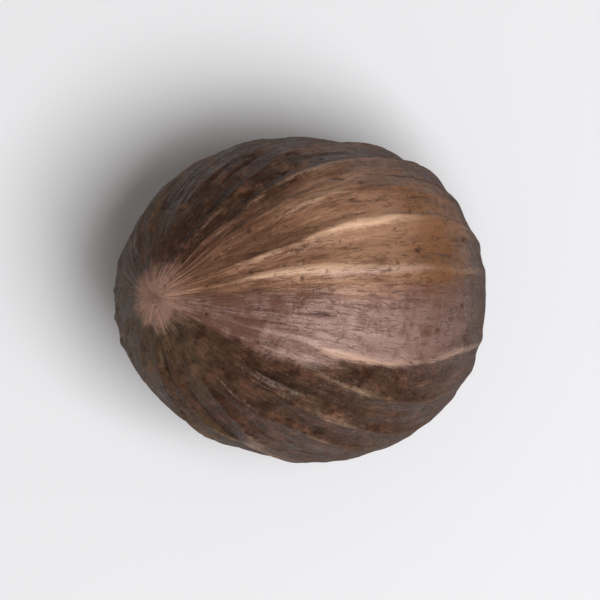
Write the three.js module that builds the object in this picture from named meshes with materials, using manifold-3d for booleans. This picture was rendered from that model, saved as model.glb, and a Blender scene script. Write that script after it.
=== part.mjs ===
// A whole nutmeg in its shell: one hard, plump ovoid seed that lies on its side.
// The shell keeps the print of the mace that once wrapped it: thin crests on low
// swells, with broad smooth furrows between them. They leave the pale scar at the
// narrow end, are boldest on one flank and fade out round the blunt end. A seam,
// the raphe, runs down the other flank.
//
// Millimetres, +Z up. The origin is under the middle of the seed, on the surface
// that it rests on. The narrow end points along -X and is tipped up a little.

import * as THREE from "three";
import { mergeVertices } from "three/addons/utils/BufferGeometryUtils.js";
import Module from "manifold-3d";

const { cos, sin, exp, abs, max, floor, hypot, atan2, PI } = Math;
const { degToRad, lerp, smoothstep } = THREE.MathUtils;

// The ovoid.
const LENGTH = 30.2; // narrow end to blunt end
const WIDTH = 26.0; // side to side
const HEIGHT = 24.8; // underside to top
const TAPER = 0.055; // share by which the girth shrinks towards the narrow end
const BLUNTNESS = 0.05; // share by which the blunt end is fuller than an ellipse
const TILT = 10; // degrees that the narrow end is tipped up
const FOOT_DEPTH = 0.42; // how much of the underside is worn flat
const DETAIL = 20; // splits along each edge of the icosahedron behind the surface

// Swells and lumps that keep the seed from being a perfect ovoid.
const SWELLS = [
  { height: 0.42, frequency: 1.6, offset: 3.6 },
  { height: 0.1, frequency: 4.2, offset: 5.9 },
];

// Places on the shell are a latitude from the scar, in radians, and an azimuth
// round the print's axis, in degrees here, with 0 on top and 90 on the far side.
// Each noise below has so many cells in a radian round the girth and lengthways.
const PRINT = {
  tilt: 34, // degrees from the ovoid's axis up to the scar
  bold: [
    { azimuth: 32, halfWidth: 30 }, // the boldly ribbed flank
    { azimuth: -19, halfWidth: 7 }, // one more rib, past a nearly plain band
  ],
  smooth: { azimuth: -5, halfWidth: 12, share: 0.8 }, // that band
  faint: 0.3, // strength everywhere
  patchy: 0.65, // strength of the patches elsewhere
  patch: { around: 1.9, along: 1.5, offset: 5.2, from: -0.35, to: 0.45 },
  scarFade: [0.16, 0.75], // latitudes between which the print sets in
  bluntFade: [0.2, 1.4], // and the same from the blunt end
};

// Ribs lie where a wave round the girth, pulled about by noise, passes zero.
const RIB = {
  pairs: 12, // two ribs to a wave
  phase: 0.07, // turns the whole set round the seed, in radians
  steady: { azimuth: 25, halfWidth: 40, share: 0.75 }, // where ribs run straighter
  sway: { amount: 0.16, around: 1.4, along: 1.1, offset: 3.1 },
  stray: { least: 0.3, amount: 1.1, around: 3.2, along: 1.6, offset: 0 },
  ripple: { amount: 0.2, around: 8, along: 2.6, offset: 7 },
  swell: { height: 0.27, reach: 1.3 }, // the low, broad part of a rib
  crest: { height: 0.18, reach: 0.28 }, // the thin line along its top
  worn: { around: 4, along: 2.6, offset: 9.4, from: -0.6, to: 0.3 },
  main: [
    { azimuth: 15, halfWidth: 12 }, // crests here are whole, and broader
    { azimuth: -19, halfWidth: 7 },
  ],
  mainBreadth: 0.8, // share by which they are broader
};

// The scar at the narrow end with the creases round it, and the blunt end's dimple.
const SCAR = { height: 0.5, radius: 2.4, lipHeight: 0.1, lipRadius: 2.2, lipWidth: 0.8 };
const CREASE = { count: 9, depth: 0.14, radius: 3.4, halfWidth: 1.9, stray: 3, frequency: 2 };
const DIMPLE = { depth: 0.45, radius: 2.6 };

// The raphe, a seam with low banks that runs from scar to dimple.
const RAPHE = { azimuth: -104, halfWidth: 0.05, depth: 0.2, bank: 0.11, sway: 0.1, swayFrequency: 2.5 };
const RAPHE_FADE = [0.12, 0.4]; // distance from either end, in radians

const SHELL_COLOUR = 0x695043;
const SHELL_ROUGHNESS = 0.5;

const MERGE_DISTANCE = 1e-4; // on the unit sphere
const HASH = new THREE.Vector3(127.1, 311.7, 74.7); // usual weights of a sine hash
const HASH_SPREAD = 43758.5453;

const bell = (x, halfWidth) => exp(-((x / halfWidth) ** 2));

// A repeatable number from 0 to 1 for each whole-numbered lattice point.
function latticeValue(x, y, z) {
  const wave = sin(x * HASH.x + y * HASH.y + z * HASH.z) * HASH_SPREAD;
  return wave - floor(wave);
}

// Smooth noise from -1 to 1: lattice values eased into one another.
function noise(x, y, z) {
  const [ix, iy, iz] = [floor(x), floor(y), floor(z)];
  const [ux, uy, uz] = [x - ix, y - iy, z - iz].map((u) => u * u * (3 - 2 * u));
  const edge = (dy, dz) =>
    lerp(latticeValue(ix, iy + dy, iz + dz), latticeValue(ix + 1, iy + dy, iz + dz), ux);
  const sheet = (dz) => lerp(edge(0, dz), edge(1, dz), uy);
  return 2 * lerp(sheet(0), sheet(1), uz) - 1;
}

// Noise wrapped round the print's axis, with no seam.
function girthNoise({ latitude, azimuth }, { around, along, offset }) {
  return noise(
    along * latitude + offset,
    around * cos(azimuth),
    around * sin(azimuth) + offset,
  );
}

// The plain ovoid: where the unit direction d meets it.
function ovoidPoint(d) {
  const fullness = d.x > 0 ? BLUNTNESS * d.x * d.x : 0;
  const girth = 1 + TAPER * d.x + fullness;
  return new THREE.Vector3(
    (LENGTH / 2) * d.x,
    (WIDTH / 2) * girth * d.y,
    (HEIGHT / 2) * girth * d.z,
  );
}

// The outward normal there, from an ellipsoid of the same three sizes.
function ovoidNormal(d) {
  return new THREE.Vector3(d.x / LENGTH, d.y / WIDTH, d.z / HEIGHT).normalize();
}

// Where the unit direction d lies in the print.
function printPlace(d) {
  const tilt = degToRad(PRINT.tilt);
  const x = d.x * cos(tilt) - d.z * sin(tilt);
  const z = d.x * sin(tilt) + d.z * cos(tilt);
  return { latitude: atan2(hypot(d.y, z), -x), azimuth: atan2(d.y, z) };
}

// The way round from one azimuth, given in degrees, in radians from -PI to PI.
function turnFrom(degrees, azimuth) {
  const turn = azimuth - degToRad(degrees);
  return atan2(sin(turn), cos(turn));
}

// 1 in the middle of a stretch of the girth, easing to 0 outside it.
function stretch({ azimuth, halfWidth }, place) {
  return bell(turnFrom(azimuth, place.azimuth), degToRad(halfWidth));
}

// The same for the nearest of several stretches.
function nearest(stretches, place) {
  return max(...stretches.map((one) => stretch(one, place)));
}

// How strong the print is.
function printStrength(place) {
  const bold = nearest(PRINT.bold, place);
  const smooth = PRINT.smooth.share * stretch(PRINT.smooth, place);
  const patch = smoothstep(girthNoise(place, PRINT.patch), PRINT.patch.from, PRINT.patch.to);
  const ends =
    smoothstep(place.latitude, ...PRINT.scarFade) *
    smoothstep(PI - place.latitude, ...PRINT.bluntFade);
  const strength = PRINT.faint + (1 - PRINT.faint) * bold + PRINT.patchy * patch * (1 - bold);
  return ends * (1 - smooth) * strength;
}

// The wave whose zeros are the ribs.
function ribWave(place) {
  const loose = 1 - RIB.steady.share * stretch(RIB.steady, place);
  const sway = RIB.sway.amount * loose * girthNoise(place, RIB.sway);
  const stray = (RIB.stray.least + RIB.stray.amount * loose) * girthNoise(place, RIB.stray);
  const ripple = RIB.ripple.amount * girthNoise(place, RIB.ripple);
  return sin(RIB.pairs * (place.azimuth + sway + RIB.phase)) + stray + ripple;
}

// The ribs: thin crests, worn away in places, on low swells.
function ribs(place) {
  const wave = ribWave(place);
  const swell = 1 - smoothstep(abs(wave), 0, RIB.swell.reach) - 1 / 2;
  const main = nearest(RIB.main, place);
  const kept = smoothstep(girthNoise(place, RIB.worn), RIB.worn.from, RIB.worn.to);
  const reach = RIB.crest.reach * (1 + RIB.mainBreadth * main);
  const crest = max(kept, main) * bell(wave, reach);
  return printStrength(place) * (RIB.swell.height * swell + RIB.crest.height * crest);
}

// The seam: a narrow groove between low banks.
function raphe({ latitude, azimuth }) {
  const sway = RAPHE.sway * sin(RAPHE.swayFrequency * latitude);
  const away = abs(turnFrom(RAPHE.azimuth, azimuth - sway));
  const banks = bell(away - RAPHE.bank, RAPHE.halfWidth) / 2;
  const reach =
    smoothstep(latitude, ...RAPHE_FADE) * smoothstep(PI - latitude, ...RAPHE_FADE);
  return RAPHE.depth * reach * (banks - bell(away, RAPHE.halfWidth));
}

// A low pad with a lip and creases that ray out of it, and a soft hollow opposite.
function endMarks({ latitude, azimuth }) {
  const fromScar = (latitude * HEIGHT) / 2;
  const fromDimple = ((PI - latitude) * HEIGHT) / 2;
  const stray = noise(
    CREASE.frequency * cos(azimuth),
    CREASE.frequency * sin(azimuth),
    CREASE.frequency * latitude,
  );
  const rays = (1 + sin(CREASE.count * azimuth + CREASE.stray * stray)) / 2;
  return (
    SCAR.height * bell(fromScar, SCAR.radius) +
    SCAR.lipHeight * bell(fromScar - SCAR.lipRadius, SCAR.lipWidth) -
    CREASE.depth * rays * bell(fromScar - CREASE.radius, CREASE.halfWidth) -
    DIMPLE.depth * bell(fromDimple, DIMPLE.radius)
  );
}

// How far the shell stands off the plain ovoid, along its normal.
function relief(d) {
  const place = printPlace(d);
  let height = ribs(place) + raphe(place) + endMarks(place);
  for (const { height: swell, frequency: f, offset } of SWELLS)
    height += swell * noise(f * d.x + offset, f * d.y + offset, f * d.z + offset);
  return height;
}

// The whole seed's skin, tipped up but not yet set down.
function shellGeometry() {
  const sphere = new THREE.IcosahedronGeometry(1, DETAIL);
  sphere.deleteAttribute("normal");
  sphere.deleteAttribute("uv");
  const skin = mergeVertices(sphere, MERGE_DISTANCE);
  const position = skin.attributes.position;
  const d = new THREE.Vector3();
  for (let i = 0; i < position.count; i++) {
    d.fromBufferAttribute(position, i).normalize();
    const p = ovoidPoint(d).addScaledVector(ovoidNormal(d), relief(d));
    position.setXYZ(i, p.x, p.y, p.z);
  }
  return skin.rotateY(degToRad(TILT));
}

const wasm = await Module();
wasm.setup();

// A closed geometry with merged vertices as a solid, and back again.
function toSolid(geometry) {
  return new wasm.Manifold(
    new wasm.Mesh({
      numProp: 3,
      vertProperties: new Float32Array(geometry.attributes.position.array),
      triVerts: new Uint32Array(geometry.index.array),
    }),
  );
}

function toGeometry(solid) {
  const mesh = solid.getMesh();
  return new THREE.BufferGeometry()
    .setAttribute("position", new THREE.BufferAttribute(mesh.vertProperties, 3))
    .setIndex(new THREE.BufferAttribute(mesh.triVerts, 1));
}

// Cuts the small flat foot and sets the seed down on it, centred over the origin.
function setDown(skin) {
  skin.computeBoundingBox();
  const footLevel = skin.boundingBox.min.z + FOOT_DEPTH;
  const blockSide = 2 * LENGTH;
  const block = new THREE.BoxGeometry(blockSide, blockSide, blockSide);
  block.translate(0, 0, footLevel - blockSide / 2);
  block.deleteAttribute("normal");
  block.deleteAttribute("uv");
  const seed = toGeometry(toSolid(skin).subtract(toSolid(mergeVertices(block))));
  seed.computeBoundingBox();
  const centre = seed.boundingBox.getCenter(new THREE.Vector3());
  return seed.translate(-centre.x, -centre.y, -footLevel);
}

const geometry = setDown(shellGeometry());
geometry.computeVertexNormals();

const shell = new THREE.MeshStandardMaterial({
  color: SHELL_COLOUR,
  roughness: SHELL_ROUGHNESS,
  metalness: 0,
});

const seed = new THREE.Mesh(geometry, shell);
seed.name = "nutmeg_seed";

const nutmeg = new THREE.Group();
nutmeg.name = "nutmeg";
nutmeg.add(seed);

export default nutmeg;
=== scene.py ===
from math import pi, radians

import bmesh
import bpy
import numpy as np
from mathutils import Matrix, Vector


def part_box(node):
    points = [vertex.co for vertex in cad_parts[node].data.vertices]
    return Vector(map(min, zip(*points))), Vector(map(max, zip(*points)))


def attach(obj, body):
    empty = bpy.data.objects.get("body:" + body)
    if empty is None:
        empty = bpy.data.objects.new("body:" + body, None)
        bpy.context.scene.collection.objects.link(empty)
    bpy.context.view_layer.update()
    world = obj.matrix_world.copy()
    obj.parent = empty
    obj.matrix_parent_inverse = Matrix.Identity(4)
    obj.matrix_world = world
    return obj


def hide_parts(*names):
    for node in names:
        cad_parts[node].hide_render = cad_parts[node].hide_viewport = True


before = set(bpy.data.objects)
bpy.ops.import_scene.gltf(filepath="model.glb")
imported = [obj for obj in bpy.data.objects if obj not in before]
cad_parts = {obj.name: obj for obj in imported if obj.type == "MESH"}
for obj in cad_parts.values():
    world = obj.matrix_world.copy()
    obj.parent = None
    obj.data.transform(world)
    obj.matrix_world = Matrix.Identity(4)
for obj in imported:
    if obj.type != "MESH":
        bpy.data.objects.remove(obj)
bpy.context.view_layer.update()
cadLow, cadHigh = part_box("nutmeg_seed")

millimetre = 0.001

# Lengths are in millimetres. Azimuths are degrees round the print's axis, 0 on top and 90
# on the far side, and latitudes are radians from the scar. A noise has so many cells in a
# radian round the girth and along it. The first part repeats the CAD solid's sizes.
seed = {
    "length": 30.2,
    "width": 26.0,
    "height": 24.8,
    "taper": 0.055,
    "bluntness": 0.05,
    "tilt": 10,  # degrees that the scarred end is raised
    "footDepth": 0.42,  # worn off the underside
    "swells": [
        {"height": 0.42, "frequency": 1.6, "offset": 3.6},
        {"height": 0.1, "frequency": 4.2, "offset": 5.9},
    ],
    # the ribs are a print left by the mace, and fan out about an axis tilted by so much
    "printTilt": 34,
    "bold": [{"azimuth": 32, "halfWidth": 30}, {"azimuth": -19, "halfWidth": 7}],
    "smooth": {"azimuth": -5, "halfWidth": 12, "share": 0.8},
    "faint": 0.3,  # the print's strength elsewhere, and what the patches add to it
    "patchy": 0.65,
    "patch": {"around": 1.9, "along": 1.5, "offset": 5.2, "edges": (-0.35, 0.45)},
    "scarFade": (0.16, 0.75),
    "bluntFade": (0.2, 1.4),
    "ribPairs": 12,  # ribs stand where a sine passes zero, so twice in each turn of it
    "ribPhase": 0.07,
    "steady": {"azimuth": 25, "halfWidth": 40, "share": 0.75},
    "sway": {"amount": 0.16, "around": 1.4, "along": 1.1, "offset": 3.1},
    "stray": {"least": 0.3, "amount": 1.1, "around": 3.2, "along": 1.6, "offset": 0},
    "ripple": {"amount": 0.2, "around": 8, "along": 2.6, "offset": 7},
    "swell": {"height": 0.27, "reach": 1.3},
    "crest": {"height": 0.18, "reach": 0.28},
    "worn": {"around": 4, "along": 2.6, "offset": 9.4, "edges": (-0.6, 0.3)},
    # the main crests are never worn off, and are broader by a share
    "main": [{"azimuth": 15, "halfWidth": 12}, {"azimuth": -19, "halfWidth": 7}],
    "mainBreadth": 0.8,
    "scar": {"height": 0.5, "radius": 2.4, "lipHeight": 0.1, "lipRadius": 2.2, "lipWidth": 0.8},
    "crease": {"count": 9, "depth": 0.14, "radius": 3.4, "halfWidth": 1.9},
    "creaseStray": {"amount": 3, "frequency": 2},
    "dimple": {"depth": 0.45, "radius": 2.6},
    "raphe": {"azimuth": -104, "halfWidth": 0.05, "depth": 0.2, "bank": 0.11},
    "rapheSway": {"amount": 0.1, "frequency": 2.5},
    "rapheFade": (0.12, 0.4),
    # finer marks that only this mesh is dense enough to hold
    "cuts": 127,  # cuts in each edge of the cube that becomes the skin
    "fineFade": {"scar": (0.25, 0.6), "blunt": (0.2, 0.6)},
    "veins": {"height": 0.05, "least": 0.4, "around": 21, "along": 2.4, "offset": 1.3},
    "rings": {"height": 0.018, "around": 4, "along": 23, "offset": 3.9},
    "wrinkles": {"depth": 0.10, "reach": 0.12, "around": 15, "along": 1.5, "offset": 2.7},
    "dashes": {"around": 6, "along": 4.2, "offset": 8.1, "edges": (0.1, 0.5)},
    "grit": {"height": 0.035, "frequency": 16, "offset": 4.4},
    "pits": {"depth": 0.07, "frequency": 23, "offset": 6.3, "edges": (0.68, 0.92)},
    "fray": {"amount": 0.16, "around": 17, "along": 7, "offset": 1.9},
    # where the shell's colours lie round the girth
    "colours": {
        "fan": {"azimuth": 28, "halfWidth": 26},  # tan fibres
        "fork": {"azimuth": 27, "halfWidth": 9},  # a paler patch in them
        "dusk": {"azimuth": 58, "halfWidth": 19},  # their greyer border
        "dark": {"azimuth": 75, "halfWidth": 26},
        "band": {"azimuth": -6, "halfWidth": 16},  # plain, satin and mauve
        "ribHighlight": {"azimuth": -19, "halfWidth": 7},  # a painted highlight, along a rib
        "skirt": {"azimuth": -27, "halfWidth": 9},  # the band is wider near the scar
    },
    "colourFade": (1.5, 2.4),  # the latitudes where they fade out
    "olive": {"azimuth": 180, "halfWidth": 75},  # a dusty bloom, which reaches both ends
    "scarPatch": 2.9,  # reach of the pale scar
}
hashFactors = (127.1, 311.7, 74.7)
hashScale = 43758.5453


def smoothstep(value, low, high):
    share = np.clip((value - low) / (high - low), 0, 1)
    return share * share * (3 - 2 * share)


def bell(value, halfWidth):
    return np.exp(-((value / halfWidth) ** 2))


# the usual sine hash
def latticeValue(x, y, z):
    a, b, c = hashFactors
    wave = np.sin(x * a + y * b + z * c) * hashScale
    return wave - np.floor(wave)


def noise(x, y, z):
    ix, iy, iz = np.floor(x), np.floor(y), np.floor(z)
    ux, uy, uz = (u * u * (3 - 2 * u) for u in (x - ix, y - iy, z - iz))

    def edge(dy, dz):
        start = latticeValue(ix, iy + dy, iz + dz)
        return start + (latticeValue(ix + 1, iy + dy, iz + dz) - start) * ux

    def sheet(dz):
        return edge(0, dz) * (1 - uy) + edge(1, dz) * uy

    return 2 * (sheet(0) * (1 - uz) + sheet(1) * uz) - 1


def bodyNoise(direction, kind):
    x, y, z = direction.T * kind["frequency"] + kind["offset"]
    return noise(x, y, z)


def girthNoise(latitude, azimuth, kind):
    return noise(
        kind["along"] * latitude + kind["offset"],
        kind["around"] * np.cos(azimuth),
        kind["around"] * np.sin(azimuth) + kind["offset"],
    )


def turnFrom(degrees, azimuth):
    turn = azimuth - radians(degrees)
    return np.arctan2(np.sin(turn), np.cos(turn))


def stretch(kind, azimuth):
    return bell(turnFrom(kind["azimuth"], azimuth), radians(kind["halfWidth"]))


def nearest(kinds, azimuth):
    return np.max([stretch(kind, azimuth) for kind in kinds], axis=0)


def ovoid(direction):
    x, y, z = direction.T
    girth = 1 + seed["taper"] * x + seed["bluntness"] * np.maximum(x, 0) ** 2
    sizes = np.array([seed["length"], seed["width"], seed["height"]])
    place = np.stack([x, girth * y, girth * z], axis=1) * sizes / 2
    normal = direction / sizes
    return place, normal / np.linalg.norm(normal, axis=1, keepdims=True)


def printPlace(direction):
    x, y, z = direction.T
    tilt = radians(seed["printTilt"])
    along = x * np.cos(tilt) - z * np.sin(tilt)
    up = x * np.sin(tilt) + z * np.cos(tilt)
    return np.arctan2(np.hypot(y, up), -along), np.arctan2(y, up)


def printStrength(latitude, azimuth):
    bold = nearest(seed["bold"], azimuth)
    plain = seed["smooth"]["share"] * stretch(seed["smooth"], azimuth)
    patch = smoothstep(girthNoise(latitude, azimuth, seed["patch"]), *seed["patch"]["edges"])
    ends = smoothstep(latitude, *seed["scarFade"]) * smoothstep(pi - latitude, *seed["bluntFade"])
    strength = seed["faint"] + (1 - seed["faint"]) * bold + seed["patchy"] * patch * (1 - bold)
    return ends * (1 - plain) * strength


def sway(latitude, azimuth):
    loose = 1 - seed["steady"]["share"] * stretch(seed["steady"], azimuth)
    return loose, seed["sway"]["amount"] * loose * girthNoise(latitude, azimuth, seed["sway"])


def ribWave(latitude, azimuth):
    loose, aside = sway(latitude, azimuth)
    pull = seed["stray"]["least"] + seed["stray"]["amount"] * loose
    return (
        np.sin(seed["ribPairs"] * (azimuth + aside + seed["ribPhase"]))
        + pull * girthNoise(latitude, azimuth, seed["stray"])
        + seed["ripple"]["amount"] * girthNoise(latitude, azimuth, seed["ripple"])
    )


def raphe(latitude, azimuth):
    kind = seed["raphe"]
    aside = seed["rapheSway"]["amount"] * np.sin(seed["rapheSway"]["frequency"] * latitude)
    away = np.abs(turnFrom(kind["azimuth"], azimuth - aside))
    banks = bell(away - kind["bank"], kind["halfWidth"]) / 2
    reach = smoothstep(latitude, *seed["rapheFade"]) * smoothstep(pi - latitude, *seed["rapheFade"])
    return kind["depth"] * reach * (banks - bell(away, kind["halfWidth"]))


def endMarks(latitude, azimuth):
    scar, crease, dimple, astray = (seed[k] for k in ("scar", "crease", "dimple", "creaseStray"))
    fromScar = latitude * seed["height"] / 2
    fromDimple = (pi - latitude) * seed["height"] / 2
    f = astray["frequency"]
    stray = astray["amount"] * noise(f * np.cos(azimuth), f * np.sin(azimuth), f * latitude)
    rays = (1 + np.sin(crease["count"] * azimuth + stray)) / 2
    return (
        scar["height"] * bell(fromScar, scar["radius"])
        + scar["lipHeight"] * bell(fromScar - scar["lipRadius"], scar["lipWidth"])
        - crease["depth"] * rays * bell(fromScar - crease["radius"], crease["halfWidth"])
        - dimple["depth"] * bell(fromDimple, dimple["radius"])
    )


# veins, rings, wrinkles, pits and grit, and how deep in a wrinkle or a pit a point lies, which the
# shell paints as shade
def fineMarks(direction, latitude, azimuth, strength, apart):
    veins, rings, wrinkles, pits, grit = (
        seed[k] for k in ("veins", "rings", "wrinkles", "pits", "grit")
    )
    ends = smoothstep(latitude, *seed["fineFade"]["scar"])
    ends = ends * smoothstep(pi - latitude, *seed["fineFade"]["blunt"])
    dashes = smoothstep(girthNoise(latitude, azimuth, seed["dashes"]), *seed["dashes"]["edges"])
    wrinkle = apart * ends * dashes
    wrinkle = wrinkle * bell(girthNoise(latitude, azimuth, wrinkles), wrinkles["reach"])
    pit = smoothstep(bodyNoise(direction, pits), *pits["edges"])
    vein = veins["height"] * (veins["least"] + strength) * girthNoise(latitude, azimuth, veins)
    ring = rings["height"] * girthNoise(latitude, azimuth, rings)
    height = ends * (vein + ring) + grit["height"] * bodyNoise(direction, grit)
    return height - wrinkles["depth"] * wrinkle - pits["depth"] * pit, wrinkle + pit


def cubeSkin(cuts):
    bm = bmesh.new()
    bmesh.ops.create_cube(bm, size=2)
    bmesh.ops.subdivide_edges(bm, edges=bm.edges[:], cuts=cuts, use_grid_fill=True)
    mesh = bpy.data.meshes.new("nutmeg_shell")
    bm.to_mesh(mesh)
    bm.free()
    return mesh


def readPoints(mesh):
    flat = np.empty(len(mesh.vertices) * 3)
    mesh.vertices.foreach_get("co", flat)
    return flat.reshape(-1, 3)


def paint(mesh, name, values):
    kind = "FLOAT_VECTOR" if values.ndim == 2 else "FLOAT"
    made = mesh.attributes.new(name, kind, "POINT")
    made.data.foreach_set("vector" if values.ndim == 2 else "value", values.ravel())


def buildSeed():
    mesh = cubeSkin(seed["cuts"])
    direction = np.tan(readPoints(mesh) * pi / 4)  # evens out the squares
    direction /= np.linalg.norm(direction, axis=1, keepdims=True)
    latitude, azimuth = printPlace(direction)

    strength = printStrength(latitude, azimuth)
    wave = ribWave(latitude, azimuth)
    wave += seed["fray"]["amount"] * girthNoise(latitude, azimuth, seed["fray"])
    swell = 1 - smoothstep(np.abs(wave), 0, seed["swell"]["reach"])
    kept = smoothstep(girthNoise(latitude, azimuth, seed["worn"]), *seed["worn"]["edges"])
    main = nearest(seed["main"], azimuth)
    reach = seed["crest"]["reach"] * (1 + seed["mainBreadth"] * main)
    crest = np.maximum(kept, main) * bell(wave, reach)
    fine, creviceShades = fineMarks(direction, latitude, azimuth, strength, 1 - main)
    height = strength * (seed["swell"]["height"] * (swell - 0.5) + seed["crest"]["height"] * crest)
    height += raphe(latitude, azimuth) + endMarks(latitude, azimuth) + fine
    for kind in seed["swells"]:
        height += kind["height"] * bodyNoise(direction, kind)

    place, normal = ovoid(direction)
    place += normal * height[:, None]
    tilt = radians(seed["tilt"])
    x, y, z = place.T
    place = np.stack(
        [x * np.cos(tilt) + z * np.sin(tilt), y, z * np.cos(tilt) - x * np.sin(tilt)], axis=1
    )
    footLevel = place[:, 2].min() + seed["footDepth"]
    place[:, 2] = np.maximum(place[:, 2], footLevel) - footLevel
    middle = (place.max(axis=0) + place.min(axis=0)) / 2
    place[:, :2] -= middle[:2]
    place *= millimetre
    place[:, :2] += np.array((cadLow + cadHigh) / 2)[:2]
    mesh.vertices.foreach_set("co", place.ravel())

    _, aside = sway(latitude, azimuth)
    followed = azimuth + aside
    paint(mesh, "crest", crest * strength)
    # where shade is painted, in the hollows between the ribs
    paint(mesh, "hollowShade", (1 - swell) * strength)
    fade = 1 - smoothstep(latitude, *seed["colourFade"])
    for name, kind in seed["colours"].items():
        paint(mesh, name, fade * stretch(kind, azimuth))
    paint(mesh, "olive", stretch(seed["olive"], azimuth))
    paint(mesh, "scar", bell(latitude * seed["height"] / 2, seed["scarPatch"]))
    paint(mesh, "main", main)
    paint(mesh, "along", latitude / pi)
    # painted shade in the wrinkles and pits
    paint(mesh, "creviceShade", creviceShades)
    paint(mesh, "fibre", np.stack([latitude, np.cos(followed), np.sin(followed)], axis=1))
    mesh.shade_smooth()
    mesh.update()

    piece = bpy.data.objects.new("nutmeg_shell", mesh)
    bpy.context.collection.objects.link(piece)
    print("seed:", len(mesh.vertices), "points")
    return piece


# a shader socket that takes part in sums
class Field:
    def __init__(self, shader, socket):
        self.shader = shader
        self.socket = socket

    def math(self, operation, *values):
        return self.shader.node("Math", {"operation": operation}, dict(enumerate(values)))

    def __add__(self, other):
        return self.math("ADD", self, other)

    def __radd__(self, other):
        return self.math("ADD", other, self)

    def __sub__(self, other):
        return self.math("SUBTRACT", self, other)

    def __rsub__(self, other):
        return self.math("SUBTRACT", other, self)

    def __mul__(self, other):
        return self.math("MULTIPLY", self, other)

    def __rmul__(self, other):
        return self.math("MULTIPLY", other, self)

    def __abs__(self):
        return self.math("ABSOLUTE", self)

    def atLeast(self, low):
        return self.math("MAXIMUM", self, low)


class Shader:
    def __init__(self, name):
        self.material = bpy.data.materials.new(name)
        self.material.use_nodes = True
        self.tree = self.material.node_tree
        self.tree.nodes.clear()

    def node(self, kind, settings=None, inputs=None, output=0):
        made = self.tree.nodes.new("ShaderNode" + kind)
        for name, value in (settings or {}).items():
            setattr(made, name, value)
        shown = [socket for socket in made.inputs if socket.enabled]
        for key, value in (inputs or {}).items():
            socket = shown[key] if isinstance(key, int) else next(s for s in shown if s.name == key)
            if isinstance(value, Field):
                self.tree.links.new(value.socket, socket)
            else:
                socket.default_value = value
        results = [socket for socket in made.outputs if socket.enabled]
        return Field(self, results[output]) if results else None

    def attribute(self, name, output=2):
        return self.node("Attribute", {"attribute_name": name}, output=output)

    def noise(self, vector, kind):
        scale, detail, roughness = kind
        inputs = {"Vector": vector, "Scale": scale, "Detail": detail, "Roughness": roughness}
        return self.node("TexNoise", {}, inputs)

    def scaled(self, vector, factors):
        return self.node("VectorMath", {"operation": "MULTIPLY"}, {0: vector, 1: factors})

    def between(self, value, low, high):
        inputs = {"Value": value, "From Min": low, "From Max": high}
        return self.node("MapRange", {"interpolation_type": "SMOOTHSTEP"}, inputs)

    # 1 on the line where the value passes a level, 0 away from it
    def line(self, value, level, halfWidth):
        return 1 - self.between(abs(value - level), 0.0, halfWidth)

    def mix(self, share, first, second):
        inputs = {"Factor": share, "A": first, "B": second}
        return self.node("Mix", {"data_type": "RGBA"}, inputs)


def colour(red, green, blue):
    return (red, green, blue, 1)


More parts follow.
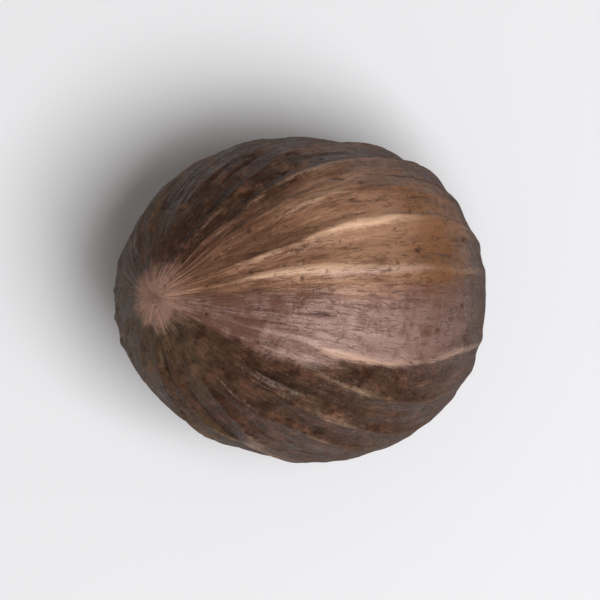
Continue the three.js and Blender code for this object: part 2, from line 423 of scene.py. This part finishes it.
shell = {
    "chocolate": colour(0.066, 0.028, 0.016),
    "chocolateDeep": colour(0.034, 0.013, 0.007),
    "russet": colour(0.165, 0.070, 0.040),
    "olive": colour(0.086, 0.058, 0.029),
    "mauve": colour(0.310, 0.187, 0.166),
    "mauveDeep": colour(0.150, 0.072, 0.052),
    "fibreDark": colour(0.140, 0.062, 0.035),
    "fibreLight": colour(0.350, 0.186, 0.112),
    "crest": colour(0.680, 0.435, 0.290),
    # pale mauve, for crests in the band and the painted highlight along its rib
    "mauveCrestAndHighlight": colour(0.415, 0.270, 0.238),
    "orange": colour(0.284, 0.112, 0.030),
    "dusk": colour(0.185, 0.115, 0.094),
    "scar": colour(0.420, 0.235, 0.175),
    # near black: painted shade in wrinkles and pits, and dark hairlines and specks
    "crevice": colour(0.016, 0.007, 0.004),
    "roughness": (0.27, 0.50),
    "edgeRoughness": 0.3,  # added where the shell is seen edge on
    "specular": 0.24,
    "glint": colour(1.0, 0.84, 0.72),
    "rippleHeight": 0.20,  # millimetres, as are the next two
    "grainHeight": 0.06,
    "hairDepth": 0.04,
    # noises: scale, detail and roughness, the first five in cells to a millimetre
    "blotch": (0.17, 4, 0.6),
    "spots": (0.62, 3, 0.6),
    "mottle": (0.9, 5, 0.68),
    "grit": (4.5, 4, 0.75),
    "grain": (3.2, 2, 0.5),
    "streak": (1.0, 5, 0.65),
    "thread": (4.0, 4, 0.75),
    "contour": (1.7, 3, 0.6),
    "ripple": (1.3, 2, 0.5),
    "striae": (1.0, 3, 0.6),
    "drawn": (3.0, 13, 13),  # cells lengthways and round: noises drawn out along the fibres
    "crossed": (15, 4, 4),  # and drawn out across them
    # how far each layer covers what lies below it
    "shares": {
        "bloom": 0.8,
        "russet": 0.5,
        "ribHighlight": 0.6,
        "band": 0.95,
        "murkRusset": 0.7,
        "murk": 0.62,
        "dusk": 0.9,
        "crest": 0.85,
        "orange": 0.85,
        "scar": 0.85,
        "creviceShade": 0.6,
        "hair": 0.45,
        "scuff": 0.4,
        "speck": 0.5,
    },
    # the values at which each mask starts and is full
    "edges": {
        "chocolate": (0.36, 0.62),
        "bloom": (0.46, 0.74),
        "bloomMottle": (0.3, 0.6),
        "russet": (0.48, 0.72),
        "sheenStart": (0.16, 0.32),
        "mauve": (0.40, 0.56),
        "ribHighlight": (0.36, 0.52),
        "skirtEnd": (0.22, 0.42),
        "band": (0.3, 0.7),
        "forkStart": (0.26, 0.42),
        "fibreLight": (0.42, 0.75),
        "fan": (0.15, 0.6),
        "murkEnd": (0.3, 0.55),
        "murk": (0.3, 0.7),
        "duskStart": (0.38, 0.54),
        "dusk": (0.55, 0.8),
        "mauveCrestAndHighlight": (0.2, 0.5),
        "crest": (0.15, 0.8),
        "orangeStart": (0.44, 0.56),
        "orangeFan": (0.2, 0.6),
        "orange": (0.36, 0.54),
        "scar": (0.25, 0.9),
        "bluntEndToneAndShade": (0.40, 0.64),
        "hair": (0.42, 0.6),
        "scuff": (0.44, 0.58),
        "noScuff": (0.2, 0.7),
        "hollowShade": (0.3, 1.0),
        "creviceShade": (0.2, 0.9),
        "speck": (0.63, 0.74),
        "matt": (0.40, 0.60),
        "edgeOn": (0.5, 0.9),
    },
    # lines: the level each is drawn at, and its half width
    # the span along the length where highlight is painted
    "highlightSpan": (0.38, 0.17),
    "hair": (0.5, 0.03),
    "scuff": (0.58, 0.012),
}


def shellMaterial():
    s = Shader("nutmeg_shell")

    def mask(name, value):
        return s.between(value, *shell["edges"][name])

    def cover(name, share, below, above):
        return s.mix(shell["shares"][name] * share, below, above)

    def centred(value):
        return value - 0.5

    place = s.node("TexCoord", output=3)
    body = s.scaled(place, (1 / millimetre,) * 3)
    fibre = s.attribute("fibre", 1)
    drawn = s.scaled(fibre, shell["drawn"])
    crest, hollowShade, creviceShade, scar = (s.attribute(k) for k in ("crest", "hollowShade", "creviceShade", "scar"))
    fan, fork, dusk, dark = (s.attribute(k) for k in ("fan", "fork", "dusk", "dark"))
    band, ribHighlight, skirt, olive = (s.attribute(k) for k in ("band", "ribHighlight", "skirt", "olive"))
    main, along = (s.attribute(k) for k in ("main", "along"))
    # highlight is painted on the rib, the crests and the fibres across this span of the length
    highlightSpan = s.line(along, *shell["highlightSpan"])

    blotch, spots, mottle, grit, grain = (
        s.noise(body, shell[k]) for k in ("blotch", "spots", "mottle", "grit", "grain")
    )
    streak, thread, contour, ripple = (
        s.noise(drawn, shell[k]) for k in ("streak", "thread", "contour", "ripple")
    )
    striae = s.noise(s.scaled(fibre, shell["crossed"]), shell["striae"])

    # dark shell with a dusty olive bloom and russet spots
    base = s.mix(mask("chocolate", mottle), shell["chocolateDeep"], shell["chocolate"])
    dusty = mask("bloom", blotch + 0.35 * olive) * mask("bloomMottle", mottle)
    base = cover("bloom", dusty, base, shell["olive"])
    ruddy = mask("russet", spots + 0.6 * centred(mottle))
    base = cover("russet", ruddy, base, shell["russet"])

    # the plain satin band, with a painted highlight along its rib
    sheen = 0.4 * streak + 0.35 * mottle + 0.25 * striae
    sheen = sheen - 0.06 * (1 - mask("sheenStart", along))
    skin = s.mix(mask("mauve", sheen), shell["mauveDeep"], shell["mauve"])
    # painted highlight: paler mauve along the rib, across the middle of the length
    worn = ribHighlight * highlightSpan * mask("ribHighlight", sheen)
    skin = cover("ribHighlight", worn, skin, shell["mauveCrestAndHighlight"])
    plain = band + 0.5 * ribHighlight * highlightSpan + 0.55 * skirt * (1 - mask("skirtEnd", along))
    satin = mask("band", plain + 0.5 * centred(streak))
    base = cover("band", satin, base, skin)

    # the fan of fibres beside it, murky near the scar and greyer at its border
    # the fibres are lighter across the middle of the length, a painted highlight
    paler = 0.14 * highlightSpan + 0.16 * fork * mask("forkStart", along) + 0.07 * main - 0.03
    lightness = mask("fibreLight", 0.8 * streak + 0.2 * thread + paler)
    fibres = s.mix(lightness, shell["fibreDark"], shell["fibreLight"])
    base = s.mix(mask("fan", fan + 0.5 * centred(streak)), base, fibres)
    murk = cover("murkRusset", ruddy, shell["chocolateDeep"], shell["russet"])
    nearScar = 1 - mask("murkEnd", along)
    shade = mask("murk", dark * nearScar + 0.5 * centred(mottle))
    base = cover("murk", shade, base, murk)
    grey = dusk * mask("duskStart", along) * mask("dusk", mottle + 0.5 * streak)
    base = cover("dusk", grey, base, shell["dusk"])

    # crests rubbed paler, with painted highlight on the main crests across the middle of the
    # length, orange streaks towards the blunt end, and the scar
    crestWearAndHighlight = crest * (0.3 + 0.4 * fan + 0.7 * main) + 0.36 * centred(highlightSpan)
    crestWearAndHighlight = crestWearAndHighlight + 0.5 * centred(thread) + 0.5 * centred(mottle)
    pale = s.mix(mask("mauveCrestAndHighlight", band), shell["crest"], shell["mauveCrestAndHighlight"])
    base = cover("crest", mask("crest", crestWearAndHighlight), base, pale)
    rust = mask("orangeStart", along + 0.2 * centred(mottle)) * mask("orangeFan", fan)
    rust = rust * mask("orange", 0.4 * thread + 0.6 * streak)
    base = cover("orange", rust, base, shell["orange"])
    bare = mask("scar", scar + 0.9 * centred(mottle) + 0.7 * centred(streak))
    base = cover("scar", bare, base, shell["scar"])

    # painted shade: darker towards the blunt end, partly the shell's own darker tone there, and in
    # the hollows between the ribs
    # the blunt end darker, partly its own tone and partly painted shade
    darkerBluntEndAndShade = mask("bluntEndToneAndShade", along + 0.15 * centred(streak))
    base = s.mix((0.2 + 0.4 * fan + 0.6 * band) * darkerBluntEndAndShade, base, shell["chocolate"])
    # painted shade in the hollows between the ribs
    base = s.mix((0.3 - 0.2 * fan) * mask("hollowShade", hollowShade), base, shell["chocolateDeep"])

    # painted shade in the wrinkles and pits, then dark hairlines, pale scuffs and specks
    hair = s.line(contour, *shell["hair"]) * mask("hair", mottle)
    scuff = s.line(contour, *shell["scuff"]) * mask("scuff", mottle)
    scuff = scuff * (1 - mask("noScuff", band + fan))
    # painted shade, near black in the wrinkles and pits
    base = cover("creviceShade", mask("creviceShade", creviceShade), base, shell["crevice"])
    base = cover("hair", hair, base, shell["crevice"])
    base = cover("scuff", scuff, base, shell["mauve"])
    base = cover("speck", mask("speck", grit), base, shell["crevice"])

    # satin on the band and the rubbed crests, duller where dusty and edge on
    low, high = shell["roughness"]
    matt = mask("matt", 0.5 * mottle + 0.5 * grit) + 0.3 * dusty
    matt = matt - 0.35 * satin - 0.5 * crest * main
    facing = s.node("LayerWeight", {}, {"Blend": 0.5}, output=1)
    duller = shell["edgeRoughness"] * mask("edgeOn", facing)
    ripples = shell["rippleHeight"] * ripple + shell["grainHeight"] * grain
    height = ripples - shell["hairDepth"] * hair
    depth = {"Strength": 1.0, "Distance": millimetre, "Height": height}
    finish = {
        "Base Color": base,
        "Roughness": (low + (high - low) * matt).atLeast(low) + duller,
        "Specular IOR Level": shell["specular"],
        "Specular Tint": shell["glint"],
        "Normal": s.node("Bump", {}, depth),
    }
    s.node("OutputMaterial", {}, {"Surface": s.node("BsdfPrincipled", {}, finish)})
    return s.material


studio = {
    "floorSize": 1.2,  # metres, as are the heights, the softbox's place and its size
    "floorColour": colour(0.80, 0.805, 0.835),
    "floorRoughness": 0.7,
    "cameraHeight": 0.42,
    "clipStart": 0.01,
    "share": 0.62,  # of the view's width that the seed takes
    "sensor": 36,  # millimetres
    "softbox": {"place": (0.19, -0.14, 0.54), "size": 0.34, "power": 3.45},
    "sky": 0.23,
    "skyColour": colour(1.0, 0.94, 0.87),  # warm, for the haze on dark shell
}


def buildFloor():
    bm = bmesh.new()
    bmesh.ops.create_grid(bm, x_segments=1, y_segments=1, size=studio["floorSize"] / 2)
    mesh = bpy.data.meshes.new("floor")
    bm.to_mesh(mesh)
    bm.free()
    floor = bpy.data.objects.new("floor", mesh)
    bpy.context.collection.objects.link(floor)
    s = Shader("floor")
    finish = {"Base Color": studio["floorColour"], "Roughness": studio["floorRoughness"]}
    s.node("OutputMaterial", {}, {"Surface": s.node("BsdfPrincipled", {}, finish)})
    mesh.materials.append(s.material)


def buildCamera():
    camera = bpy.data.objects.new("camera", bpy.data.cameras.new("camera"))
    bpy.context.collection.objects.link(camera)
    middle = (cadLow + cadHigh) / 2
    camera.location = (middle.x, middle.y, studio["cameraHeight"])
    viewWidth = (cadHigh.x - cadLow.x) / studio["share"]
    camera.data.sensor_width = studio["sensor"]
    camera.data.lens = studio["sensor"] * (studio["cameraHeight"] - middle.z) / viewWidth
    camera.data.clip_start = studio["clipStart"]
    bpy.context.scene.camera = camera


def buildLights():
    softbox = studio["softbox"]
    light = bpy.data.lights.new("softbox", "AREA")
    light.shape = "SQUARE"
    light.size = softbox["size"]
    light.energy = softbox["power"]
    lamp = bpy.data.objects.new("softbox", light)
    bpy.context.collection.objects.link(lamp)
    lamp.location = softbox["place"]
    lamp.rotation_euler = (-lamp.location).to_track_quat("-Z", "Y").to_euler()
    world = bpy.data.worlds.new("studio")
    world.use_nodes = True
    sky = world.node_tree.nodes["Background"]
    sky.inputs["Color"].default_value = studio["skyColour"]
    sky.inputs["Strength"].default_value = studio["sky"]
    bpy.context.scene.world = world
    bpy.context.scene.view_settings.view_transform = "Standard"


buildCamera()
buildLights()
buildFloor()
print("studio ready")

nutmeg = buildSeed()
nutmeg.data.materials.append(shellMaterial())
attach(nutmeg, "root")
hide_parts("nutmeg_seed")
print("shell finished")
